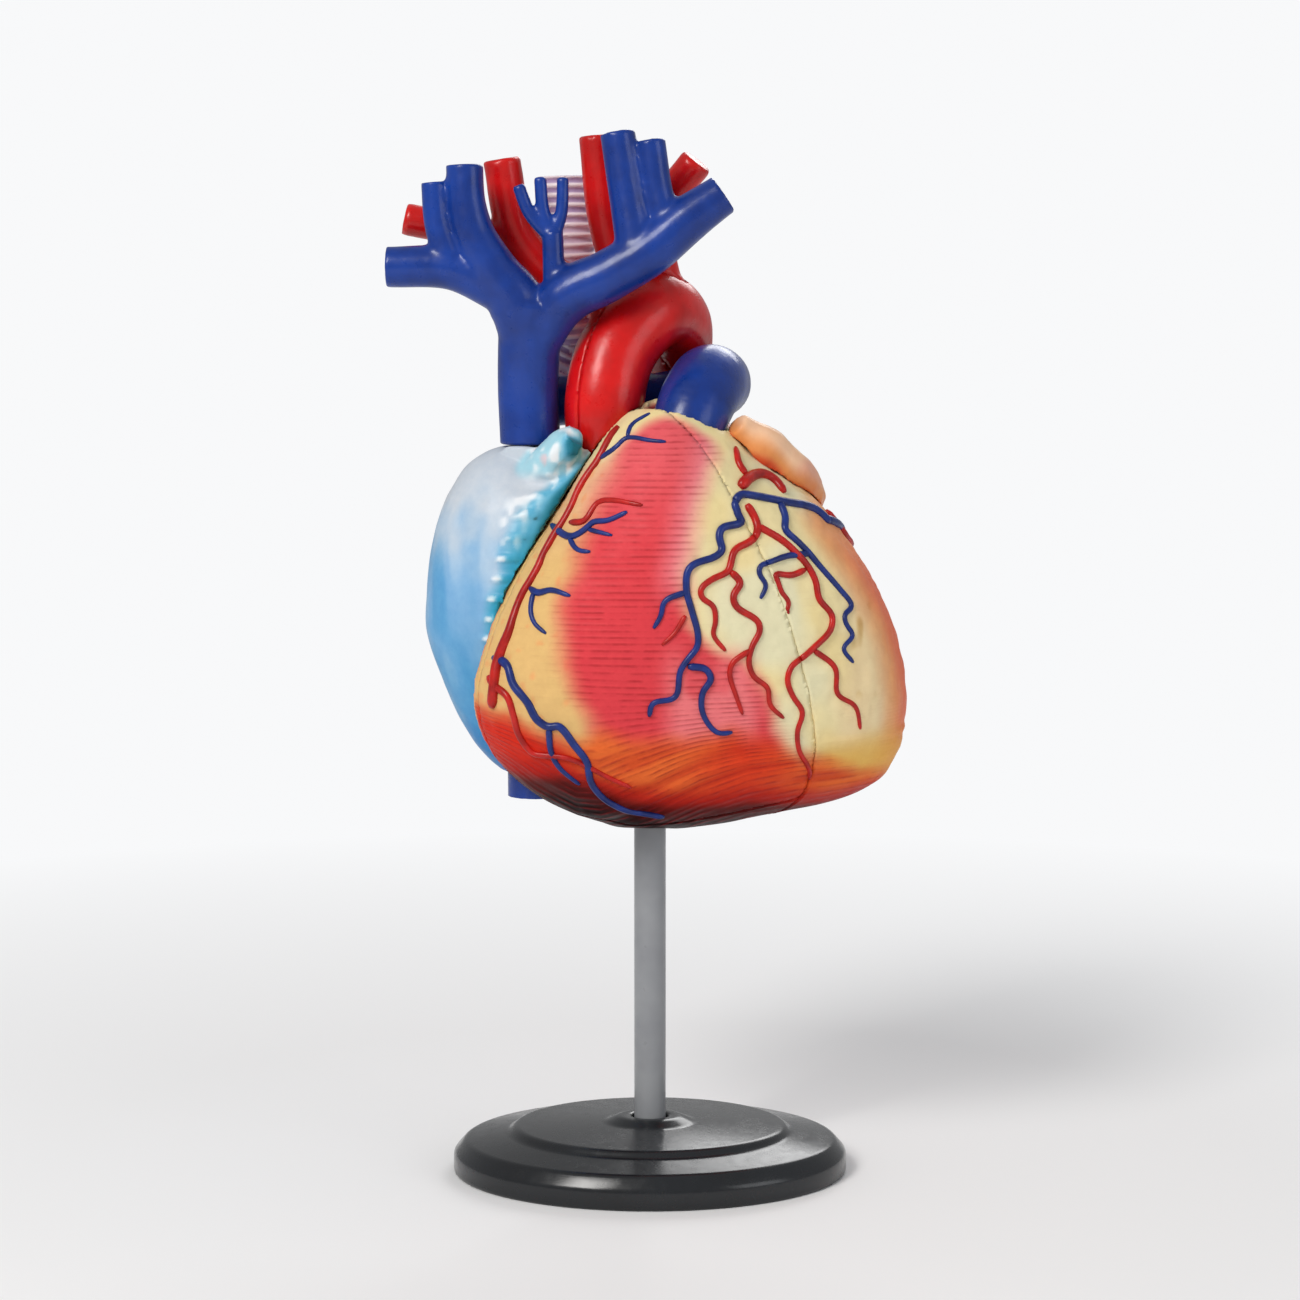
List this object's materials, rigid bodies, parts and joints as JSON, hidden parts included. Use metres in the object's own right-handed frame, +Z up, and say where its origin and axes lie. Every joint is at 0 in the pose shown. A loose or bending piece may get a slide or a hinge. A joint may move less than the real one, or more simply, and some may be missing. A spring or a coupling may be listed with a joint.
{
  "type": "human heart anatomy model",
  "caption": "Take-apart human heart model with hollow chambers, valves, great vessels and lift-off walls, standing on a rod in a low oval base.",
  "frame": {"origin": "on the rod's axis, in the plane that the oval base rests on", "axes": "+X towards the viewer's right seen from the front, which is the heart's own left, +Y away from the viewer towards the heart's back, +Z up along the rod"},
  "size_m": [0.065, 0.043, 0.1308],
  "materials": {
    "artery_red": "glossy",
    "vein_blue": "glossy",
    "pale_blue": "glossy, painted with pale mottling",
    "heart_pink": "satin, painted from pink to orange and deep red",
    "fat_cream": "satin, painted from cream to orange",
    "inner_peach": "satin",
    "muscle_red": "satin",
    "valve_white": "satin",
    "cartilage": "satin, with darker grooves",
    "rod_grey": "satin",
    "base_black": "glossy"
  },
  "bodies": {
    "base": {"stand_base": "base_black"},
    "rod": {"stand_rod": "rod_grey"},
    "heart": {"rv_back_wall": "heart_pink", "ventricular_septum": "inner_peach", "av_plate": "inner_peach", "tricuspid_valve": "valve_white", "mitral_valve": "valve_white", "aortic_valve": "valve_white", "pulmonary_valve": "valve_white", "rv_papillary_muscle": "muscle_red", "lv_papillary_anterior": "muscle_red", "lv_papillary_posterior": "muscle_red", "ra_back": "pale_blue", "atrial_septum": "inner_peach", "la_front": "heart_pink", "left_auricle": "fat_cream", "pulmonary_trunk": "vein_blue", "right_pulmonary_artery": "vein_blue"},
    "right_ventricle_wall": {"rv_front_wall": "heart_pink"},
    "left_ventricle_wall": {"lv_wall": "fat_cream"},
    "right_atrium_cover": {"ra_cover": "pale_blue", "inferior_vena_cava": "vein_blue"},
    "left_atrium_cover": {"la_back_cover": "heart_pink", "pulmonary_vein_left_upper": "artery_red", "pulmonary_vein_left_lower": "artery_red", "pulmonary_vein_right_upper": "artery_red", "pulmonary_vein_right_lower": "artery_red"},
    "crown": {"aorta_front": "artery_red", "aorta_back": "artery_red", "trachea": "cartilage"},
    "veins": {"superior_vena_cava": "vein_blue"}
  },
  "joints": [
    {"name": "rod_turn", "type": "hinge", "parent": "base", "child": "rod", "pos_m": [0, 0, 0], "axis": [0, 0, 1], "continuous": true},
    {"name": "heart_lift", "type": "slide", "parent": "rod", "child": "heart", "axis": [0, 0, 1], "range_m": [0, 0.016]},
    {"name": "right_wall_pull", "type": "slide", "parent": "heart", "child": "right_ventricle_wall", "axis": [0, -1, 0], "range_m": [0, 0.03]},
    {"name": "left_wall_pull", "type": "slide", "parent": "heart", "child": "left_ventricle_wall", "axis": [0.6801, 0, -0.7331], "range_m": [0, 0.03]},
    {"name": "right_atrium_pull", "type": "slide", "parent": "heart", "child": "right_atrium_cover", "axis": [-0.794, -0.608, 0], "range_m": [0, 0.03]},
    {"name": "left_atrium_pull", "type": "slide", "parent": "heart", "child": "left_atrium_cover", "axis": [0, 1, 0], "range_m": [0, 0.03]},
    {"name": "crown_lift", "type": "slide", "parent": "heart", "child": "crown", "axis": [-0.4903, -0.1561, 0.8575], "range_m": [0, 0.015]},
    {"name": "veins_lift", "type": "slide", "parent": "crown", "child": "veins", "axis": [0, -0.5, 0.866], "range_m": [0, 0.02]}
  ]
}
